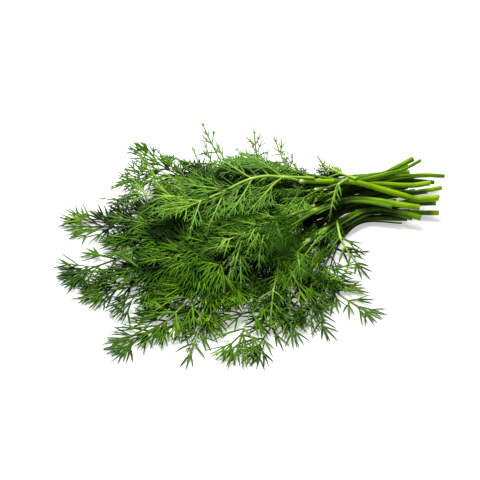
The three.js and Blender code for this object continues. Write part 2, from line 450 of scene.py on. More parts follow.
@dataclass
class Threads:
    """Tapered tubes gathered into one mesh, with the numbers that their finish reads."""

    heap: Heap
    crest_line: tuple[np.ndarray, np.ndarray] | None = None
    blocks: list[dict] = field(default_factory=list)
    cell_edges: ClassVar[Span] = (0.08, 0.06)
    lid_rise: ClassVar[float] = 0.02

    def add(
        self,
        points: np.ndarray,
        radii: np.ndarray,
        normals: np.ndarray,
        traits: dict[str, np.ndarray],
        sides: int,
        flatness: float = 1.0,
        cap: bool = False,
    ) -> None:
        """Adds tubes that all have the same number of stations.

        Args:
            points: Places, as tube, station and coordinate.
            radii: Radii, as tube and station.
            normals: A direction for each tube that its flat side faces.
            traits: Numbers by name, each given as tube and station.
            sides: How many sides each tube has.
            flatness: The share of the width that the thickness is.
            cap: Whether the first end is closed with a face of its own.
        """
        tubes, stations = radii.shape
        if self.crest_line:
            points = self.heap.laid_on_top(points, *self.crest_line)
        else:
            points = self.heap.eased(points)
        tangents = unit(np.gradient(points, axis=1))
        across = unit(np.cross(normals[:, None, :], tangents))
        upward = np.cross(tangents, across)
        turn = np.arange(sides) * math.tau / sides
        wide = across[:, :, None, :] * np.cos(turn)[:, None]
        tall = upward[:, :, None, :] * (np.sin(turn) * flatness)[:, None]
        rings = points[:, :, None, :] + radii[:, :, None, None] * (wide + tall)
        ends = points[:, -1] + tangents[:, -1] * radii[:, -1, None]
        # depth, how far a place lies under the heap's upper surface, sets the finishes' painted
        # shade.
        traits = traits | {"depth": self.heap.depth(points)}
        ring_traits = {k: np.repeat(v[:, :, None], sides, 2) for k, v in traits.items()}
        self.blocks.append(
            {
                "rings": rings,
                "ends": ends,
                "starts": points[:, 0] if cap else None,
                "traits": ring_traits,
                "shape": (tubes, stations, sides),
            }
        )

    def add_stalk(
        self,
        points: np.ndarray,
        radii: np.ndarray,
        tone: float,
        pith: np.ndarray | float,
        sides: int,
        cap: bool = False,
    ) -> None:
        """Adds one round tube of an even tone.

        Args:
            points: The place of each station.
            radii: The radius at each station.
            tone: How bright its green is.
            pith: How pale it is.
            sides: How many sides it has.
            cap: Whether its first end is closed.
        """
        one = np.ones((1, len(radii)))
        traits = {"tone": tone * one, "pith": pith * one, "bloom": 0 * one}
        self.add(points[None], radii[None], UP[None], traits, sides, cap=cap)

    def _faces(self, block: dict, first: int, cell: int) -> tuple[list, list, int]:
        """Lists one block's faces and their places on the surface map.

        Args:
            block: The block.
            first: The number of its first vertex.
            cell: The number of its first tube.

        Returns:
            Arrays of faces, arrays of map places with a cell number, and the vertices used.
        """
        tubes, stations, sides = block["shape"]
        ring = np.arange(tubes * stations * sides).reshape(tubes, stations, sides) + first
        beside = np.roll(ring, -1, axis=2)
        quads = np.stack([ring[:, :-1], beside[:, :-1], beside[:, 1:], ring[:, 1:]], -1)
        s = np.arange(sides) / sides
        t = np.arange(stations) / stations
        low, high = np.meshgrid(t[:-1], s, indexing="ij")
        step_s, step_t = 1 / sides, 1 / stations
        corner_s = np.stack([high, high + step_s, high + step_s, high], -1)
        corner_t = np.stack([low, low, low + step_t, low + step_t], -1)
        cells = np.arange(tubes) + cell
        faces, places = [quads.reshape(-1, 4)], [self._cells(cells, corner_s, corner_t)]
        used = tubes * stations * sides
        tip = np.arange(tubes)[:, None] + first + used
        used += tubes
        fan = np.stack([ring[:, -1], beside[:, -1], np.repeat(tip, sides, 1)], -1)
        faces.append(fan.reshape(-1, 3))
        fan_s = np.stack([s, s + step_s, s + step_s / 2], -1)[None]
        fan_t = np.broadcast_to(np.array([t[-1], t[-1], 1.0]), fan_s.shape)
        places.append(self._cells(cells, fan_s, fan_t))
        if block["starts"] is not None:
            start = np.arange(tubes)[:, None] + first + used
            used += tubes
            lid = np.stack([beside[:, 0], ring[:, 0], np.repeat(start, sides, 1)], -1)
            faces.append(lid.reshape(-1, 3))
            rise = self.lid_rise
            lid_t = np.broadcast_to(np.array([rise, rise, 0.0]), fan_s.shape)
            places.append(self._cells(cells, fan_s, lid_t))
        return faces, places, used

    @staticmethod
    def _cells(cells: np.ndarray, s: np.ndarray, t: np.ndarray) -> np.ndarray:
        """Gives each corner its tube's cell number and its place in that cell.

        Args:
            cells: The number of each tube's cell.
            s: How far round the tube each corner is, from 0 to 1.
            t: How far along the tube each corner is, from 0 to 1.

        Returns:
            Rows of number and place, for each tube in turn.
        """
        count = len(cells)
        flat_s, flat_t = s.reshape(-1), t.reshape(-1)
        number = np.repeat(cells, len(flat_s))
        return np.stack([number, np.tile(flat_s, count), np.tile(flat_t, count)], -1)

    def build(self, name: str, material: bpy.types.Material) -> bpy.types.Object:
        """Makes one object of all the tubes.

        Args:
            name: The object's name.
            material: Its finish.

        Returns:
            The object.
        """
        vertices, faces, places, traits = [], [], [], defaultdict(list)
        count = cell = 0
        names = sorted({k for block in self.blocks for k in block["traits"]})
        for block in self.blocks:
            block_faces, block_places, used = self._faces(block, count, cell)
            faces += block_faces
            places += block_places
            vertices += [block["rings"].reshape(-1, 3), block["ends"]]
            if block["starts"] is not None:
                vertices.append(block["starts"])
            for key in names:
                values = block["traits"].get(key, np.zeros(block["shape"]))
                traits[key] += [values.reshape(-1), values[:, -1, 0]]
                if block["starts"] is not None:
                    traits[key].append(values[:, 0, 0])
            count += used
            cell += block["shape"][0]
        mesh = bpy.data.meshes.new(name)
        co = np.vstack(vertices)
        mesh.vertices.add(len(co))
        mesh.vertices.foreach_set("co", co.astype(np.float32).ravel())
        loops = np.concatenate([f.ravel() for f in faces])
        totals = np.concatenate([np.full(len(f), f.shape[1]) for f in faces])
        starts = np.concatenate([[0], np.cumsum(totals)[:-1]])
        mesh.loops.add(len(loops))
        mesh.loops.foreach_set("vertex_index", loops.astype(np.int32))
        mesh.polygons.add(len(totals))
        mesh.polygons.foreach_set("loop_start", starts.astype(np.int32))
        mesh.update(calc_edges=True)
        mesh.shade_smooth()
        for key, values in traits.items():
            trait = mesh.attributes.new(key, "FLOAT", "POINT")
            trait.data.foreach_set("value", np.concatenate(values).astype(np.float32))
        self._map(mesh, np.vstack(places), cell)
        mesh.materials.append(material)
        return add_object(name, mesh)

    def _map(self, mesh: bpy.types.Mesh, places: np.ndarray, cells: int) -> None:
        """Lays the tubes out on the surface map, each in a cell of its own.

        Args:
            mesh: The mesh.
            places: Each corner's cell number and its place in that cell.
            cells: How many cells there are.
        """
        across = math.ceil(math.sqrt(cells))
        edge_u, edge_v = self.cell_edges
        number, s, t = places.T
        u = (number % across + edge_u + (1 - 2 * edge_u) * s) / across
        v = (number // across + edge_v + (1 - 2 * edge_v) * t) / across
        layer = mesh.uv_layers.new(name="OFBake")
        layer.uv.foreach_set("vector", np.stack([u, v], -1).astype(np.float32).ravel())


# --- What the frame says ----------------------------------------------------------------------


def frame_triangles(node: bpy.types.Object) -> tuple[np.ndarray, np.ndarray]:
    """Reads a frame node's mesh with its doubled vertices joined.

    Args:
        node: The frame node.

    Returns:
        The vertices, and the triangles as vertex numbers.
    """
    mesh = node.data
    co = np.empty(len(mesh.vertices) * 3)
    mesh.vertices.foreach_get("co", co)
    grid = np.round(co.reshape(-1, 3) / WELD).astype(np.int64)
    keys, numbers = np.unique(grid, axis=0, return_inverse=True)
    mesh.calc_loop_triangles()
    loops = np.empty(len(mesh.loop_triangles) * 3, np.int32)
    mesh.loop_triangles.foreach_get("vertices", loops)
    return keys * WELD, numbers.reshape(-1)[loops].reshape(-1, 3)


@dataclass(frozen=True)
class StemFrame:
    """A stem's middle line and radii, from its cut end to its fork."""

    centres: np.ndarray
    radii: np.ndarray
    face_reach: ClassVar[float] = 0.01
    face_depth: ClassVar[float] = 4e-5
    face_cosine: ClassVar[float] = 0.999
    face_triangles: ClassVar[int] = 6

    @classmethod
    def read(cls, node: bpy.types.Object) -> StemFrame:
        """Follows a frame stem's rings from its cut face.

        Args:
            node: The frame node.

        Returns:
            What it found.
        """
        vertices, triangles = frame_triangles(node)
        ring = cls._cut_face(vertices, triangles)
        near = defaultdict(set)
        for a, b, c in triangles:
            near[a] |= {b, c}
            near[b] |= {a, c}
            near[c] |= {a, b}
        rings, seen = [], set()
        while ring:
            rings.append(sorted(ring))
            seen |= ring
            ring = {n for v in ring for n in near[v]} - seen
        centres = np.array([vertices[r].mean(0) for r in rings])
        radii = [np.linalg.norm(vertices[r] - c, axis=1).mean() for r, c in zip(rings, centres)]
        return cls(centres, np.array(radii))

    @classmethod
    def _cut_face(cls, vertices: np.ndarray, triangles: np.ndarray) -> set[int]:
        """Finds the flat face at the stem's cut end, its +X end.

        Args:
            vertices: The stem's vertices.
            triangles: Its triangles, as vertex numbers.

        Returns:
            The numbers of the face's vertices.
        """
        a, b, c = (vertices[triangles[:, k]] for k in range(3))
        normals = unit(np.cross(b - a, c - a))
        middles = (a + b + c) / 3
        best, found = -math.inf, set()
        for normal, middle in zip(normals, middles):
            off = np.abs((middles - middle) @ normal)
            close = np.linalg.norm(middles - middle, axis=1) < cls.face_reach
            flat = ((normals @ normal) > cls.face_cosine) & (off < cls.face_depth) & close
            if flat.sum() >= cls.face_triangles:
                members = set(triangles[flat].ravel().tolist())
                x = vertices[list(members)][:, 0].mean()
                if x > best:
                    best, found = x, members
        return found


@dataclass(frozen=True)
class LeafFrame:
    """A leaf's midrib and the root and tip of each leaflet, from its base to its apex."""

    rib: np.ndarray
    roots: np.ndarray
    tips: np.ndarray

    @classmethod
    def read(cls, node: bpy.types.Object, midrib_width: float, pairs: int) -> LeafFrame:
        """Follows a frame leaf's outline and tells its midrib from its leaflets.

        On each bank a leaflet takes three corners: its back, its tip and its front.

        Args:
            node: The frame node.
            midrib_width: How far apart the midrib's two edges are.
            pairs: How many pairs of leaflets the leaf has.

        Returns:
            What it found.
        """
        ring = cls._outline(*frame_triangles(node))
        half = 3 * pairs
        best, found = math.inf, ring
        for start in range(len(ring)):
            turned_ring = np.roll(ring, -start, axis=0)
            right, left = cls._banks(turned_ring, half)
            edges = [k for k in range(half + 1) if k % 3 != 2]
            widths = np.linalg.norm((right - left)[edges, :2], axis=1)
            error = np.abs(widths - midrib_width).sum()
            if error < best:
                best, found = error, turned_ring
        right, left = cls._banks(found, half)
        middle = (right + left) / 2
        backs, fronts = middle[1 : half + 1 : 3], middle[3 : half + 1 : 3]
        rib = np.vstack([middle[:1], (backs + fronts) / 2, found[half + 1 : half + 2]])
        tips = np.stack([right[2 : half + 1 : 3], left[2 : half + 1 : 3]], 1)
        return cls(rib, (backs + fronts) / 2, tips)

    @staticmethod
    def _banks(ring: np.ndarray, half: int) -> tuple[np.ndarray, np.ndarray]:
        """Splits an outline into its right and left banks, both from base to apex."""
        return ring[: half + 1], ring[half + 2 :][::-1]

    @staticmethod
    def _outline(vertices: np.ndarray, triangles: np.ndarray) -> np.ndarray:
        """Walks round a blade's outline, anticlockwise from above, at its middle height.

        Args:
            vertices: The blade's vertices.
            triangles: Its triangles, as vertex numbers.

        Returns:
            The outline's corners in order.
        """
        grid = np.round(vertices[:, :2] / WELD).astype(np.int64)
        keys, columns = np.unique(grid, axis=0, return_inverse=True)
        columns = columns.reshape(-1)
        heights = np.array([vertices[columns == k, 2].mean() for k in range(len(keys))])
        near = defaultdict(set)
        for triangle in columns[triangles]:
            ends = set(triangle.tolist())
            if len(ends) == 2:
                a, b = ends
                near[a].add(b)
                near[b].add(a)
        walk, here, before = [0], min(near[0]), 0
        while here != 0:
            walk.append(here)
            here, before = next(iter(near[here] - {before})), here
        places = np.column_stack([keys * WELD, heights])[walk]
        x, y = places[:, 0], places[:, 1]
        area = (x * np.roll(y, -1) - y * np.roll(x, -1)).sum()
        return places if area > 0 else places[::-1]


@dataclass
class Heap:
    """The heap's upper surface, which tells how deep inside it a place is, and so how strong the
    painted shade there is.
    """

    nodes: dict[str, bpy.types.Object]
    cell: float = 0.004
    margin: float = 0.02
    # full_depth and lead: how deep the painted shade inside the heap grows full, and how far above
    # the smoothed top it begins.
    full_depth: float = 0.008
    lead: float = 0.003
    lowest_roof: float = 0.012
    headroom: float = 0.003
    sunk: float = 0.002
    crest: float = 0.0025
    rise_run: float = 0.022
    samples: int = 4
    smoothings: int = 2
    last_cell: float = 1.001

    def __post_init__(self) -> None:
        """Lays samples of every frame triangle on a grid and keeps the highest in each cell."""
        points = np.vstack([self._sampled(node) for node in self.nodes.values()])
        self.corner = points[:, :2].min(0) - self.margin
        size = np.ceil((points[:, :2].max(0) + self.margin - self.corner) / self.cell).astype(int)
        self.height = np.zeros(size)
        i, j = ((points[:, :2] - self.corner) / self.cell).astype(int).T
        np.maximum.at(self.height, (i, j), points[:, 2])
        self.roof = np.mean(self._windows(np.max(self._windows(self.height), axis=0)), axis=0)
        for _ in range(self.smoothings):
            self.height = np.mean(self._windows(self.height), axis=0)

    def _sampled(self, node: bpy.types.Object) -> np.ndarray:
        """Spreads places over a frame node's triangles.

        Args:
            node: The frame node.

        Returns:
            The places.
        """
        vertices, triangles = frame_triangles(node)
        steps = np.arange(self.samples + 1) / self.samples
        shares = [(u, v, 1 - u - v) for u in steps for v in steps if u + v <= 1]
        return np.einsum("sk,tkc->stc", np.array(shares), vertices[triangles]).reshape(-1, 3)

    @staticmethod
    def _windows(grid: np.ndarray) -> list[np.ndarray]:
        """Copies a grid nine times, each moved so that a cell meets one of its neighbours.

        Args:
            grid: A number for each cell.

        Returns:
            The copies.
        """
        padded = np.pad(grid, 1, mode="edge")
        rows, columns = grid.shape
        return [padded[i : i + rows, j : j + columns] for i in range(3) for j in range(3)]

    def _read(self, grid: np.ndarray, points: np.ndarray) -> np.ndarray:
        """Reads a grid at places, evenly between its cells.

        Args:
            grid: A number for each cell.
            points: The places.

        Returns:
            The number at each place.
        """
        place = (points[..., :2] - self.corner) / self.cell - 0.5
        place = np.clip(place, 0, np.array(grid.shape) - self.last_cell)
        low = place.astype(int)
        i, j = low[..., 0], low[..., 1]
        u, v = (place - low)[..., 0], (place - low)[..., 1]
        near = grid[i, j] * (1 - v) + grid[i, j + 1] * v
        far = grid[i + 1, j] * (1 - v) + grid[i + 1, j + 1] * v
        return near * (1 - u) + far * u

    def top(self, points: np.ndarray) -> np.ndarray:
        """Gives the height of the heap's highest part about each place."""
        return self._read(self.roof, points)

    def eased(self, points: np.ndarray) -> np.ndarray:
        """Lowers the places that would stand too far above the heap.

        Args:
            points: The places.

        Returns:
            The places, the lowered ones among them.
        """
        limit = np.maximum(self.top(points) - self.sunk, self.lowest_roof)
        over = np.maximum(points[..., 2] - limit, 0)
        points = points.copy()
        kept = self.headroom * (1 - np.exp(-over / self.headroom))
        points[..., 2] = np.minimum(points[..., 2], limit) + kept
        return points

    def laid_on_top(self, points: np.ndarray, start: np.ndarray, ahead: np.ndarray) -> np.ndarray:
        """Lifts the places of a leaf onto the heap.

        Args:
            points: The places.
            start: Where the leaf leaves its stem.
            ahead: The way that it grows.

        Returns:
            The places.
        """
        share = np.clip(((points - start) @ ahead) / self.rise_run, 0, 1)
        points = points.copy()
        over = np.maximum(self.top(points) + self.crest - points[..., 2], 0)
        points[..., 2] += share * over
        return points

    def depth(self, points: np.ndarray) -> np.ndarray:
        """Gives how far under the heap's upper surface places are, from 0 to 1, which sets the
        painted shade there.
        """
        under = self._read(self.height, points) + self.lead - points[..., 2]
        return np.clip(under / self.full_depth, 0, 1)


# --- Growing threads --------------------------------------------------------------------------


@dataclass
class Axes:
    """Curved axes that leaf threads grow along, many at once.

    A place on an axis is base + length * (heading * t + curl * t * t), for t from 0 to 1.
    """

    base: np.ndarray
    heading: np.ndarray
    curl: np.ndarray
    normal: np.ndarray
    length: np.ndarray
    tone: np.ndarray

    def at(self, t: np.ndarray) -> np.ndarray:
        """Gives the places at t.

        Args:
            t: One number for each axis, or a row of stations for each.

        Returns:
            The places, in rows as t has them.
        """
        if t.ndim == 1:
            return self.base + self.length[:, None] * (
                self.heading * t[:, None] + self.curl * t[:, None] ** 2
            )
        u = t[..., None]
        step = self.heading[:, None] * u + self.curl[:, None] * u**2
        return self.base[:, None] + self.length[:, None, None] * step

    def towards(self, t: np.ndarray) -> np.ndarray:
        """Gives the direction of growth at t, one for each axis."""
        return unit(self.heading + 2 * self.curl * t[:, None])

    def pick(self, rows: np.ndarray) -> Axes:
        """Keeps some of the axes, or repeats them."""
        return Axes(*(getattr(self, name)[rows] for name in AXIS_PARTS))


AXIS_PARTS = tuple(Axes.__dataclass_fields__)


class Habit(Enum):
    """How a leaf's threads grow: long open fans, fine plumes, or short curly tufts."""

    OPEN = "open"
    FINE = "fine"
    CURLY = "curly"


@dataclass(frozen=True)
class Growth:
    """How threads branch from their parents in one habit, in metres, shares and degrees.

    Nodes are set back from an axis's tip: the first by one lobe, the rest by a gap each.
    """

    lobe: float
    gap: float
    bare: float
    reach: float
    first_reach: float
    angle: float
    twist: float
    tilt: float
    thread_radius: float
    shortest: float
    most: int = 9
    orders: int = 3
    gap_shift: float = 0.2
    set_back: Span = (0.95, 1.05)
    rooted: Span = (0.05, 0.92)
    fan: Span = (0.75, 1.25)
    lengths: Span = (0.8, 1.15)
    bend: float = 0.05
    bend_ahead: float = 0.14
    tone_spread: float = 0.12
    pith_left: float = 0.45


GROWTH = {
    Habit.OPEN: Growth(
        lobe=0.0138, gap=0.0072, bare=0.12, reach=0.96, first_reach=0.94,
        angle=25.0, twist=5.0, tilt=8.0, thread_radius=0.00058, shortest=0.0060,
    ),
    Habit.FINE: Growth(
        lobe=0.0084, gap=0.0076, bare=0.08, reach=0.86, first_reach=0.64,
        angle=31.0, twist=12.0, tilt=17.0, thread_radius=0.00046, shortest=0.0034,
    ),
    Habit.CURLY: Growth(
        lobe=0.0038, gap=0.0036, bare=0.12, reach=0.80, first_reach=0.70,
        angle=36.0, twist=26.0, tilt=30.0, thread_radius=0.00031, shortest=0.0020,
    ),
}
SPRAY_GROWTH = replace(GROWTH[Habit.CURLY], lobe=0.0060, gap=0.0080, bare=0.4, reach=0.7)


@dataclass(frozen=True)
class Strand:
    """How one order of thread is shaped: narrower at its base, full beyond, and fine at its tip."""

    width: float
    stations: int
    sides: int
    flatness: float
    last: float = 0.96
    base: float = 0.80
    belly: float = 0.35
    belly_skew: float = 0.8
    tip_power: int = 5
    tip_roundness: float = 0.8
    tip: float = 0.06
    full_length: float = 0.010
    slimmest: float = 0.62
    sizes: Span = (0.82, 1.12)

    def profile(self, t: np.ndarray) -> np.ndarray:
        """Gives the width at each t from 0 to 1, as a share of the full width."""
        middle = self.base + self.belly * np.sin(np.pi * t**self.belly_skew)
        return middle * (1 - t**self.tip_power) ** self.tip_roundness + self.tip


LEAFLET_STRAND = Strand(width=1.2, stations=9, sides=6, flatness=0.8)
BRANCH_STRAND = Strand(width=1.0, stations=6, sides=4, flatness=0.62)
LOBE_STRAND = Strand(width=1.0, stations=5, sides=4, flatness=0.62)


@dataclass
class Plume:
    """One leaf's threads, and the chance, vigour and bloom that they grow by. Vigour, the base
    tone, also carries painted light for leaves high in the heap.
    """

    threads: Threads
    rng: np.random.Generator
    vigour: float
    bloom: float
    tone_spread: float = 0.13
    tip_tone: float = 0.10
    tip_pith: float = 0.2
    blooms: Span = (0.5, 1.2)

    def facing(self, heading: np.ndarray, tilt: float) -> np.ndarray:
        """Gives each heading a normal that is about upright, tilted by chance."""
        normal = unit(np.cross(np.cross(heading, UP), heading))
        return turned(normal, unit(heading), np.radians(self.rng.normal(0, tilt, len(heading))))

    def tones(self, count: int) -> np.ndarray:
        """Draws a tone for each of some axes."""
        return np.clip(self.vigour + self.rng.normal(0, self.tone_spread, count), 0, 1)

    def branch(self, parents: Axes, growth: Growth) -> Axes:
        """Grows opposite pairs of side axes from each parent.

        Args:
            parents: The axes they grow from.
            growth: How they grow.

        Returns:
            The side axes.
        """
        rng = self.rng
        room = (1 - growth.bare) * parents.length - growth.lobe
        pairs = np.clip(np.floor(room / growth.gap) + 1, 0, growth.most).astype(int)
        row = np.repeat(np.arange(len(pairs)), pairs)
        index = np.arange(len(row)) - np.repeat(np.cumsum(pairs) - pairs, pairs)
        shift = rng.uniform(-growth.gap_shift, growth.gap_shift, len(row))
        left = growth.lobe + growth.gap * (index + shift)
        row, left = np.repeat(row, 2), np.repeat(left, 2)
        left = left * rng.uniform(*growth.set_back, len(left))
        side = np.tile([1.0, -1.0], len(row) // 2)
        stock = parents.pick(row)
        t = np.clip(1 - left / stock.length, *growth.rooted)
        ahead = stock.towards(t)
        across = unit(np.cross(stock.normal, ahead))
        across = turned(across, ahead, np.radians(rng.normal(0, growth.twist, len(t))))
        fan = np.radians(growth.angle * rng.uniform(*growth.fan, len(t)))[:, None]
        heading = ahead * np.cos(fan) + across * side[:, None] * np.sin(fan)
        length = left * growth.reach * rng.uniform(*growth.lengths, len(t))
        normal = unit(np.cross(ahead, across))
        normal = turned(normal, heading, np.radians(rng.normal(0, growth.twist, len(t))))
        bend = rng.normal(0, growth.bend, (len(t), 3)) + growth.bend_ahead * (ahead - heading)
        tone = np.clip(stock.tone + rng.normal(0, growth.tone_spread, len(t)), 0, 1)
        keep = length > growth.shortest
        return Axes(stock.at(t), heading, bend, normal, length, tone).pick(keep)

    def grow(self, leaflets: Axes, growth: Growth, pith: float) -> None:
        """Makes the leaflets' threads and grows every order of branch from them.

        Args:
            leaflets: The leaflets' axes.
            growth: How they branch.
            pith: How pale the leaflets' bases are. Each order is less so.
        """
        radius = growth.thread_radius
        self._thread(leaflets, radius, pith, LEAFLET_STRAND)
        parents = leaflets
        for order in range(growth.orders):
            rule = growth if order else replace(growth, reach=growth.first_reach)
            parents = self.branch(parents, rule)
            pith *= growth.pith_left
            self._thread(parents, radius, pith, LOBE_STRAND if order else BRANCH_STRAND)

    def _thread(self, axes: Axes, radius: float, pith: float, strand: Strand) -> None:
        """Turns axes into tapered threads that lie no lower than the table.

        Args:
            axes: The axes.
            radius: The greatest half width of a strand that is one wide.
            pith: How pale their bases are, from 0 to 1.
            strand: How they are shaped.
        """
        count = len(axes.base)
        if not count:
            return
        t = np.broadcast_to(np.linspace(0, strand.last, strand.stations), (count, strand.stations))
        points = axes.at(t)
        size = strand.width * radius * self.rng.uniform(*strand.sizes, (count, 1))
        slim = np.clip(axes.length[:, None] / strand.full_length, strand.slimmest, 1.0)
        radii = size * slim * strand.profile(t)
        clear_table(points, radii * strand.flatness)
        bloom = np.full(t.shape, self.bloom) * self.rng.uniform(*self.blooms, (count, 1))
        traits = {
            "tone": axes.tone[:, None] + self.tip_tone * t,
            "pith": pith * (1 - (1 - self.tip_pith) * t),
            "bloom": bloom,
        }
        self.threads.add(points, radii, axes.normal, traits, strand.sides, strand.flatness)


# --- Leaves -----------------------------------------------------------------------------------


@dataclass(frozen=True)
class StemLine:
    """A stem's smooth middle line: stations of place and radius, and how far along each is."""

    stations: np.ndarray
    run: np.ndarray

    @classmethod
    def smoothed(cls, frame: StemFrame, steps: int) -> StemLine:
        """Runs a smooth line through a frame stem's rings."""
        stations = smooth_path(np.column_stack([frame.centres, frame.radii]), steps)
        return cls(stations, distances(stations[:, :3]))

    def at(self, run: np.ndarray) -> tuple[np.ndarray, np.ndarray]:
        """Gives the places and the radii at distances from the cut end."""
        columns = [np.interp(run, self.run, column) for column in self.stations.T]
        return np.column_stack(columns[:3]), columns[3]


@dataclass(frozen=True)
class Midrib:
    """A leaf's midrib: a tapering tube with a swollen pale node at each leaflet pair."""

    taper: float = 0.52
    steps: int = 9
    sides: int = 8
    node_spread: float = 0.8
    node_swell: float = 0.25
    pith: float = 0.42
    node_pith: float = 0.34
    more_tone: float = 0.2

    def grow(self, plume: Plume, line: np.ndarray, radius: float) -> None:
        """Makes the tube.

        Args:
            plume: The leaf's threads.
            line: The leaf's base and the place of each leaflet pair.
            radius: The radius at the base.
        """
        radii = radius * np.linspace(1.0, self.taper, len(line))
        path = smooth_path(np.column_stack([line, radii]), self.steps)
        clear_table(path[:, :3], path[:, 3])
        nodes = np.arange(1, len(line)) * self.steps
        near = bell(np.arange(len(path))[:, None] - nodes, self.node_spread).max(1)
        radii = path[:, 3] * (1 + self.node_swell * near)
        pith = self.pith + self.node_pith * near
        tone = plume.vigour + self.more_tone
        plume.threads.add_stalk(path[:, :3], radii, tone, pith, self.sides)


@dataclass(frozen=True)
class Petioles:
    """Slim leaf stalks that lie along a stem, as the lowest leaves' stalks do."""

    count: int = 2
    starts: Span = (0.0, 0.25)
    ends: Span = (0.75, 0.98)
    slimness: Span = (0.34, 0.52)
    swings: Span = (-0.9, 0.3)
    nearness: float = 0.8
    wander: float = 0.0012
    wave: float = 0.018
    taper: float = 0.62
    tone: float = 0.55
    pith: float = 0.1375
    stations: int = 30
    sides: int = 10

    def grow(self, plume: Plume, line: StemLine) -> None:
        """Lays the stalks beside a stem.

        Args:
            plume: The leaf's threads.
            line: The stem's middle line.
        """
        rng = plume.rng
        for _ in range(self.count):
            first, last = rng.uniform(*self.starts), rng.uniform(*self.ends)
            at = np.linspace(first, last, self.stations) * line.run[-1]
            middle, stem_radii = line.at(at)
            ahead = unit(np.gradient(middle, axis=0))
            across = unit(np.cross(UP, ahead)) * rng.choice([-1, 1])
            slim = rng.uniform(*self.slimness) * line.stations[0, 3]
            swing = rng.uniform(*self.swings)
            away = across * math.cos(swing) + UP * math.sin(swing)
            wander = self.wander * (1 + np.sin(at / self.wave + rng.uniform(*PHASES)))
            points = middle + away * (stem_radii + self.nearness * slim + wander)[:, None]
            clear_table(points, slim)
            radii = slim * np.linspace(1.0, self.taper, len(at))
            plume.threads.add_stalk(points, radii, self.tone, self.pith, self.sides, cap=True)


@dataclass(frozen=True)
class Sheath:
    """The pale swollen sheath round a stem that a side leaf springs from."""

    below: float = 0.0022
    above: float = 0.0065
    swell: float = 0.12
    swell_length: float = 0.0019
    overlap: float = 0.04
    overlap_from: float = 0.0015
    edge: float = 0.97
    pith: float = 0.25
    node_pith: float = 0.45
    node_length: float = 0.0008
    tone: float = 0.7
    stations: int = 12
    sides: int = 14

    def grow(self, plume: Plume, line: StemLine, node: float) -> None:
        """Wraps a stem.

        Args:
            plume: The leaf's threads.
            line: The stem's middle line.
            node: How far the sheath's node is from the stem's cut end.
        """
        at = node + np.linspace(-self.below, self.above, self.stations)
        points, radii = line.at(at)
        swell = 1.0 + self.swell * bell(at - node, self.swell_length)
        swell += self.overlap * (at > node - self.overlap_from)
        swell[[0, -1]] = self.edge
        pith = self.pith + self.node_pith * bell(at - node, self.node_length)
        plume.threads.add_stalk(points, radii * swell, self.tone, pith, self.sides)


@dataclass(frozen=True)
class SprayStalk:
    """A side leaf's stalk, pale where it leaves the stem and thin at its tip."""

    last: float = 0.98
    thinning: float = 0.72
    thinning_power: float = 0.7
    tip_radius: float = 0.00015
    pith: float = 0.22
    node_pith: float = 0.45
    node_length: float = 0.035
    tip_pith: float = 0.15
    tone: float = 0.60
    stations: int = 22
    sides: int = 10

    def grow(self, plume: Plume, rib: Axes, radius: float) -> None:
        """Makes the stalk.

        Args:
            plume: The leaf's threads.
            rib: The one axis that it follows.
            radius: Its radius at the stem.
        """
        t = np.linspace(0, self.last, self.stations)
        points = rib.at(t[None])[0]
        radii = radius * (1 - self.thinning * t**self.thinning_power) + self.tip_radius
        clear_table(points, radii)
        pith = self.pith + self.node_pith * bell(t, self.node_length) - self.tip_pith * t
        plume.threads.add_stalk(points, radii, self.tone, pith, self.sides)


@dataclass(frozen=True)
class Spray:
    """A small curly side leaf on a long stalk, which springs from a sheath on a stem."""

    length: float = 0.064
    lengths: Span = (0.8, 1.25)
    swings: Span = (3.0, 15.0)
    rises: Span = (0.0, 9.0)
    curl: float = 0.12
    curls: Span = (0.2, 1.8)
    droop: float = 0.5
    off_axis: float = 0.45
    stalk_share: float = 0.46
    tilt: float = 25.0
    dimness: float = 0.7
    pith: float = 0.12
    stalk: SprayStalk = SprayStalk()
    sheath: Sheath = Sheath()

    def grow(self, plume: Plume, line: StemLine, share: float, side: int) -> None:
        """Grows the side leaf with its stalk and sheath.

        Args:
            plume: The leaf's threads.
            line: The stem's middle line.
            share: How far along the stem it springs from, from 0 to 1.
            side: 1 for the stem's left and -1 for its right.
        """
        rng, stations = plume.rng, line.stations
        k = min(int(np.searchsorted(line.run, share * line.run[-1])), len(stations) - 3)
        ahead = unit(stations[k + 2, :3] - stations[k, :3])
        swing = math.radians(side * rng.uniform(*self.swings))
        rise = math.radians(rng.uniform(*self.rises))
        flat = turned(ahead[None], UP[None], np.array([swing]))[0]
        heading = unit(flat * math.cos(rise) + UP * math.sin(rise))
        across = np.cross(UP, flat) * side
        base = stations[k, :3] + self.off_axis * stations[k, 3] * across
        length = self.length * rng.uniform(*self.lengths)
        curl = self.curl * across * rng.uniform(*self.curls) - self.droop * math.sin(rise) * UP
        normal = plume.facing(heading[None], self.tilt)
        tone = self.dimness * plume.tones(1)
        rib = Axes(base[None], heading[None], curl[None], normal, np.array([length]), tone)
        self.stalk.grow(plume, rib, self.stalk_share * stations[k, 3])
        self.sheath.grow(plume, line, line.run[k])
        plume.grow(plume.branch(rib, SPRAY_GROWTH), GROWTH[Habit.CURLY], self.pith)


@dataclass(frozen=True)
class Fill:
    """Shorter leaflets inside the heap, as shares of the leaflet that each leans away from."""

    lean: float = 34.0
    swings: Span = (0.0, 0.45)
    slides: Span = (-0.25, 0.45)
    lengths: Span = (0.55, 0.9)
    over: float = 0.016
    probe: float = 0.6


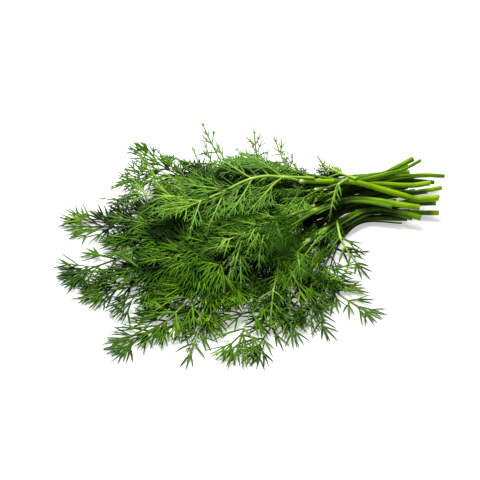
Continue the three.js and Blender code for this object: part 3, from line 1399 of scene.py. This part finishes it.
@dataclass
class Leaf:
    """One feathery leaf round its frame node.

    The midrib and the leaflets' axes come from the frame. Finer branches grow from those in
    opposite pairs, and end in thread-like lobes.
    """

    name: str
    habit: Habit
    plume: Plume
    rib_radius: float
    stalk: StemFrame
    sprays: tuple[float, ...]
    fills: int
    pith: float
    topmost: bool
    midrib_width: float = 0.002
    pairs: int = 6
    framed_pairs: int = 4
    stalk_steps: int = 8
    lengthening: Span = (1.0, 1.12)
    arch: float = 0.07
    arches: Span = (0.2, 1.4)
    overshoot: float = 0.10
    midrib: Midrib = Midrib()
    fill: Fill = Fill()
    petioles: Petioles = Petioles()
    spray: Spray = Spray()

    def build(self, node: bpy.types.Object, finish: bpy.types.Material) -> bpy.types.Object:
        """Grows the leaf and makes its object.

        Args:
            node: The frame node it stands for.
            finish: The leaf finish.

        Returns:
            The object.
        """
        frame = LeafFrame.read(node, self.midrib_width, self.pairs)
        growth, threads = GROWTH[self.habit], self.plume.threads
        if self.topmost:
            threads.crest_line = (frame.rib[0], unit(frame.rib[3] - frame.rib[0]))
        self.midrib.grow(self.plume, frame.rib[: self.framed_pairs + 1], self.rib_radius)
        self.plume.grow(self._leaflets(frame, growth), growth, self.pith)
        if self.sprays:
            line = StemLine.smoothed(self.stalk, self.stalk_steps)
            self.petioles.grow(self.plume, line)
            for number, share in enumerate(self.sprays):
                self.spray.grow(self.plume, line, share, 1 if number % 2 else -1)
        piece = threads.build(f"{self.name}_fronds", finish)
        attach(piece, "root")
        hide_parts(self.name)
        return piece

    def _leaflets(self, frame: LeafFrame, growth: Growth) -> Axes:
        """Sets out the leaflets' axes and the axis that ends the midrib.

        Each node bears its frame pair, and inside the heap shorter leaflets that lean from it.

        Args:
            frame: The frame leaf's lines.
            growth: How the leaf grows.

        Returns:
            The axes.
        """
        rng, kept = self.plume.rng, self.framed_pairs
        roots = np.repeat(frame.roots[:kept], 2, axis=0)
        tips = frame.tips[:kept].reshape(-1, 3)
        spread = np.linalg.norm(frame.tips - frame.roots[:, None], axis=2).max(1)[:kept]
        outward = unit(tips - roots)
        length = np.repeat(spread, 2) * rng.uniform(*self.lengthening, len(roots))
        steps = (frame.rib[2:] - frame.rib[1:-1])[:kept]
        base, heading, length = self._filled(roots, outward, length, np.repeat(steps, 2, axis=0))
        arch = self.arch * rng.uniform(*self.arches, len(base))[:, None]
        # An arch of height a is 4 a (t - t * t).
        curl = -4 * arch * UP
        normal = self.plume.facing(heading, growth.tilt)
        tone = self.plume.tones(len(base))
        side = Axes(base, heading + 4 * arch * UP, curl, normal, length, tone)
        return self._with_end(side, frame, growth)

    def _filled(
        self, roots: np.ndarray, outward: np.ndarray, length: np.ndarray, steps: np.ndarray
    ) -> tuple[np.ndarray, np.ndarray, np.ndarray]:
        """Adds the shorter leaflets inside the heap to the framed ones.

        Args:
            roots: Where each framed leaflet starts.
            outward: The way that it grows.
            length: Its length.
            steps: The step from its node to the next along the midrib.

        Returns:
            The start, direction and length of every leaflet.
        """
        rng, rule, count = self.plume.rng, self.fill, len(roots)
        ahead, room = unit(steps), np.linalg.norm(steps, axis=1)[:, None]
        bases, headings, lengths = [roots], [outward], [length]
        for _ in range(self.fills):
            lean = np.radians(rng.normal(0, rule.lean, count))
            swing = rng.uniform(*rule.swings, (count, 1))
            slide = rng.uniform(*rule.slides, (count, 1)) * room
            bases.append(roots + ahead * slide)
            headings.append(unit(turned(outward, ahead, lean) + swing * ahead))
            lengths.append(length * rng.uniform(*rule.lengths, count))
        base, heading, length = np.vstack(bases), np.vstack(headings), np.concatenate(lengths)
        probe = base + rule.probe * length[:, None] * heading
        inside = self.plume.threads.heap.top(probe) > rule.over
        inside[:count] = True
        return base[inside], heading[inside], length[inside]

    def _with_end(self, side: Axes, frame: LeafFrame, growth: Growth) -> Axes:
        """Adds the axis that carries on from the last framed pair to the apex.

        Args:
            side: The leaflets' axes.
            frame: The frame leaf's lines.
            growth: How the leaf grows.

        Returns:
            All the axes.
        """
        start, middle, apex = frame.rib[self.framed_pairs], frame.rib[-2], frame.rib[-1]
        apex = apex + self.overshoot * (apex - start)
        whole, part = apex - start, middle - start
        length = np.linalg.norm(whole)
        share = np.linalg.norm(part) / length
        curl = (whole * share - part) / (share - share**2) / length
        heading = whole / length - curl
        normal = self.plume.facing(unit(heading)[None], growth.tilt / 2)
        tone = self.plume.tones(1)
        end = Axes(start[None], heading[None], curl[None], normal, np.array([length]), tone)
        return Axes(*(np.concatenate([getattr(a, n) for a in (side, end)]) for n in AXIS_PARTS))


# --- Stems ------------------------------------------------------------------------------------


@dataclass
class Stem:
    """One cut stem round its frame node: a ribbed tube with a cut face and a swollen fork."""

    name: str
    seed: int
    heap: Heap
    bright: float
    node_swell: float = 0.32
    node_length: float = 0.0035
    node_pith: float = 0.85
    ripple: float = 0.025
    ripple_length: float = 0.011
    rim: tuple[float, ...] = (0.04, 0.62, 0.93, 1.0)
    face_step: float = 1e-4
    sides: int = 26
    steps: int = 7

    def build(self, node: bpy.types.Object, finish: bpy.types.Material) -> StemFrame:
        """Makes the stem's object.

        Args:
            node: The frame node it stands for.
            finish: The stem finish.

        Returns:
            The frame stem's line and radii.
        """
        frame = StemFrame.read(node)
        rng = np.random.default_rng(self.seed)
        line = StemLine.smoothed(frame, self.steps)
        points, radii, run = line.stations[:, :3], line.stations[:, 3], line.run
        near_fork = bell(run[-1] - run, self.node_length)
        radii = radii * (1 + self.node_swell * near_fork)
        phase = rng.uniform(*PHASES)
        radii = radii * (1 + self.ripple * np.sin(run / self.ripple_length + phase))
        inner = len(self.rim) - 1
        face = points[0] + (points[0] - points[1]) * self.face_step
        points = np.vstack([np.tile(face, (inner, 1)), points])
        wide = np.concatenate([radii[0] * np.array(self.rim), radii[1:]])
        near = np.concatenate([np.zeros(inner + 1), near_fork[1:]])
        cut = (np.arange(len(points)) < inner).astype(float)
        self._tube(points, wide, near, cut, finish)
        return frame

    def _tube(
        self,
        points: np.ndarray,
        radii: np.ndarray,
        near: np.ndarray,
        cut: np.ndarray,
        finish: bpy.types.Material,
    ) -> None:
        """Makes the ribbed tube and its object.

        Args:
            points: The place of each station, the cut face's rings first.
            radii: The radius at each station.
            near: How near each station is to the fork, from 0 to 1.
            cut: 1 on the cut face and 0 elsewhere.
            finish: The stem finish.
        """
        threads = Threads(self.heap)
        traits = {
            "tone": self.bright * np.ones((1, len(near))),
            "pith": (self.node_pith * near**2)[None],
            "cut": cut[None],
        }
        threads.add(points[None], radii[None], UP[None], traits, self.sides)
        piece = threads.build(f"{self.name}_stalk", finish)
        turn = np.tile(np.arange(self.sides) / self.sides, len(points))
        trait = piece.data.attributes.new("turn", "FLOAT", "POINT")
        trait.data.foreach_set("value", np.append(turn, 0.0).astype(np.float32))
        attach(piece, "root")
        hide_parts(self.name)


# --- Studio -----------------------------------------------------------------------------------


@dataclass
class Studio:
    """White table, soft light from above and behind, and the camera."""

    table_side: float = 6.0
    target: tuple[float, float, float] = (-0.0103, 0.0003, 0.018)
    elevation: float = 42.0
    distance: float = 0.9
    span: float = 0.326
    sky: float = 0.32
    key_power: float = 62.0
    key_size: float = 1.0
    key_place: tuple[float, float, float] = (-0.45, 0.55, 1.5)
    clip_start: float = 0.01

    def build(self) -> None:
        """Makes the table, the lights and the camera."""
        self._table()
        self._lights()
        self._camera()

    def _table(self) -> None:
        """Makes the table top."""
        half = self.table_side / 2
        mesh = bpy.data.meshes.new("table")
        corners = [(-half, -half, 0), (half, -half, 0), (half, half, 0), (-half, half, 0)]
        mesh.from_pydata(corners, [], [(0, 1, 2, 3)])
        mesh.materials.append(TableSkin().make())
        table = add_object("table", mesh)

    def _lights(self) -> None:
        """Makes the even white surroundings and one large lamp."""
        scene = bpy.context.scene
        scene.world = bpy.data.worlds.new("surroundings")
        scene.world.use_nodes = True
        backdrop = scene.world.node_tree.nodes["Background"]
        backdrop.inputs["Color"].default_value = (1, 1, 1, 1)
        backdrop.inputs["Strength"].default_value = self.sky
        scene.view_settings.view_transform = "Standard"
        lamp = bpy.data.lights.new("key", "AREA")
        lamp.shape, lamp.size, lamp.energy = "SQUARE", self.key_size, self.key_power
        key = add_object("key", lamp)
        key.location = self.key_place
        aim = Vector(self.target) - Vector(self.key_place)
        key.rotation_euler = aim.to_track_quat("-Z", "Y").to_euler()

    def _camera(self) -> None:
        """Makes the camera, which looks down along +Y."""
        rise = math.radians(self.elevation)
        lens = bpy.data.cameras.new("camera")
        lens.angle = 2 * math.atan(self.span / 2 / self.distance)
        lens.clip_start = self.clip_start
        camera = add_object("camera", lens)
        offset = Vector((0, -math.cos(rise), math.sin(rise))) * self.distance
        camera.location = Vector(self.target) + offset
        camera.rotation_euler = (math.radians(90 - self.elevation), 0, 0)
        bpy.context.scene.camera = camera


# --- The bunch --------------------------------------------------------------------------------


@dataclass
class DillBunch:
    """All stems and leaves, laid where the frame has them."""

    nodes: dict[str, bpy.types.Object]
    stem_seed: int = 100
    stem_brightness: Span = (0.25, 0.75)
    leaf_seed: int = 500
    rib_share: float = 0.80
    petiole_radius: float = 0.0009
    low: float = 0.004
    high: float = 0.036
    vigour: Span = (0.10, 0.40)
    # high_vigour: a lighter green given to leaves high in the heap, as painted light on its top.
    high_vigour: float = 0.24
    low_vigour: float = 0.10
    bloom: Span = (0.0, 0.35)
    high_bloom: float = 0.3
    pith: float = 0.40
    low_pith: float = 0.22
    fills: int = 2
    top_leaf: str = "leaf_18_end"
    # top_vigour and top_bloom set the topmost leaf's fresher green, partly painted light on the top
    # of the heap.
    top_vigour: float = 0.52
    top_bloom: float = 0.60
    sprays: int = 6
    spray_places: Span = (0.34, 0.95)
    placed_sprays: dict[str, tuple[float, ...]] = field(
        default_factory=lambda: {
            "18": (0.70,),
            "17": (0.72, 0.85),
            "16": (0.55, 0.66, 0.76, 0.84, 0.91, 0.97),
            "14": (0.40, 0.43, 0.72, 0.82, 0.90, 0.96),
            "13": (0.24, 0.55, 0.68, 0.80, 0.88, 0.95),
            "12": (0.45, 0.62, 0.72, 0.80, 0.88, 0.95),
        }
    )

    def _sprays(self, number: str, rng: np.random.Generator) -> tuple[float, ...]:
        """Gives where a stem's side leaves spring from it.

        Args:
            number: The stem's number.
            rng: The leaf's chance.

        Returns:
            The places, as shares of the stem's length.
        """
        if number in self.placed_sprays:
            return self.placed_sprays[number]
        return tuple(sorted(float(s) for s in rng.uniform(*self.spray_places, self.sprays)))

    def build(self) -> None:
        """Makes each piece and logs it."""
        stem_finish, leaf_finish = StemSkin().make(), LeafSkin().make()
        heap = Heap(self.nodes)
        stalks, total = {}, 0
        for seed, name in enumerate(n for n in sorted(self.nodes) if n.startswith("stem")):
            rng = np.random.default_rng(self.stem_seed + seed)
            stem = Stem(name, seed, heap, float(rng.uniform(*self.stem_brightness)))
            frame = stem.build(self.nodes[name], stem_finish)
            stalks[name.split("_")[1]] = frame
            LOG.info("%s: %d rings", name, len(frame.radii))
        for seed, name in enumerate(n for n in sorted(self.nodes) if n.startswith("leaf")):
            leaf = self._leaf(name, seed, stalks[name.split("_")[1]], heap)
            piece = leaf.build(self.nodes[name], leaf_finish)
            total += len(piece.data.polygons)
            LOG.info("%s: %s, %d faces", name, leaf.habit.value, len(piece.data.polygons))
        LOG.info("leaves: %d faces", total)

    def _leaf(self, name: str, seed: int, stalk: StemFrame, heap: Heap) -> Leaf:
        """Sets out one leaf by where it lies in the heap.

        Args:
            name: Its frame node's name.
            seed: The number that its chance starts from.
            stalk: The stem that it grows on.
            heap: The heap.

        Returns:
            The leaf.
        """
        rng = np.random.default_rng(self.leaf_seed + seed)
        end = name.endswith("_end")
        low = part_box(name)[0].z < self.low
        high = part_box(name)[1].z > self.high
        topmost = name == self.top_leaf
        sprays = self._sprays(name.split("_")[1], rng) if end else ()
        vigour = float(rng.uniform(*self.vigour))
        # Leaves high in the heap are painted lighter, as lit ones on its top.
        vigour = vigour + self.high_vigour * high + self.low_vigour * low
        bloom = 0.0 if low else float(rng.uniform(*self.bloom)) + self.high_bloom * high
        # The topmost leaf gets a fresher green and more bloom, partly painted light on the top of
        # the heap.
        if topmost:
            vigour, bloom = self.top_vigour, self.top_bloom
        return Leaf(
            name=name,
            habit=Habit.OPEN if low else Habit.FINE,
            plume=Plume(Threads(heap), np.random.default_rng(seed), vigour, bloom),
            rib_radius=self.rib_share * stalk.radii[-1] if end else self.petiole_radius,
            stalk=stalk,
            sprays=sprays,
            fills=0 if high else self.fills,
            pith=self.low_pith if low else self.pith,
            topmost=topmost,
        )


def main() -> None:
    """Builds the scene round the frame."""
    logging.basicConfig(level=logging.INFO, format="%(message)s")
    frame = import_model()
    Studio().build()
    DillBunch(frame["nodes"]).build()
    bpy.context.view_layer.update()


if __name__ == "__main__":
    main()
